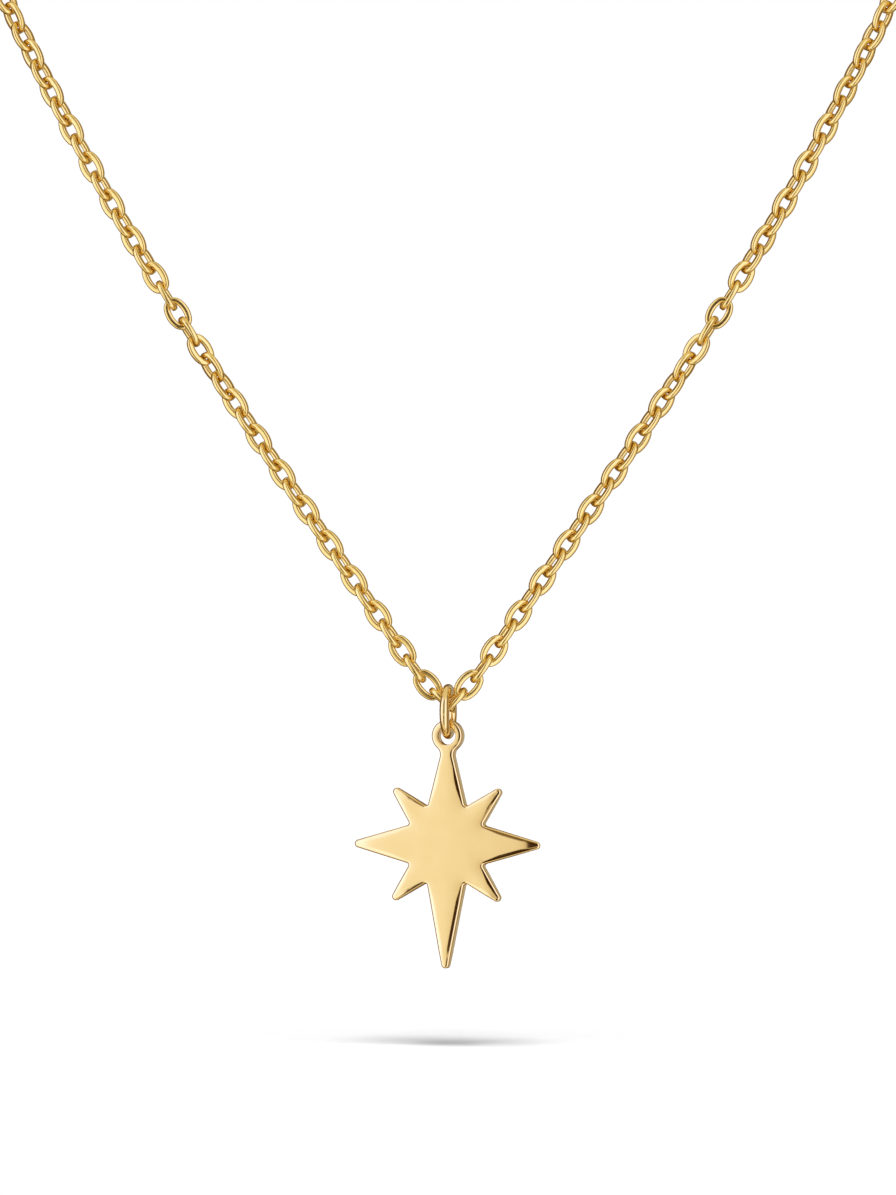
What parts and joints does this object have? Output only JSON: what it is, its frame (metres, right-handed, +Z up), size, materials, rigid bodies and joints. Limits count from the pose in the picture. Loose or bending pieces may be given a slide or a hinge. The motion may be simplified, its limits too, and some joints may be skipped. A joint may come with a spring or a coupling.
{
  "type": "star pendant necklace",
  "caption": "Eight-pointed star pendant of polished plate on a jump ring, hung from a whole loop of oval chain links with a plain clasp.",
  "frame": {"origin": "middle of the clasp, where the necklace lies on the nape of a neck and is held up", "axes": "+Z up, the star's front faces -Y (turned 16 degrees towards -X), +X to the right seen from the front"},
  "size_m": [0.1118, 0.0983, 0.1485],
  "materials": {
    "star_gold": "mirror-polished pale gold plate",
    "ring_gold": "polished pale gold wire",
    "chain_gold": "polished pale gold wire",
    "clasp_gold": "polished pale gold"
  },
  "bodies": {
    "necklace": {"chain_left": "chain_gold", "chain_right": "chain_gold", "clasp": "clasp_gold"},
    "ring": {"jump_ring": "ring_gold"},
    "pendant": {"star": "star_gold"}
  },
  "joints": [
    {"name": "ring_swing", "type": "hinge", "parent": "necklace", "child": "ring", "pos_m": [0, -0.094, -0.12354], "axis": [0.9833, -0.1822, 0], "range_deg": [-35, 35]},
    {"name": "star_swing", "type": "hinge", "parent": "ring", "child": "pendant", "pos_m": [0, -0.094, -0.12556], "axis": [-0.2755, -0.9607, 0.0349], "range_deg": [-70, 70]}
  ]
}
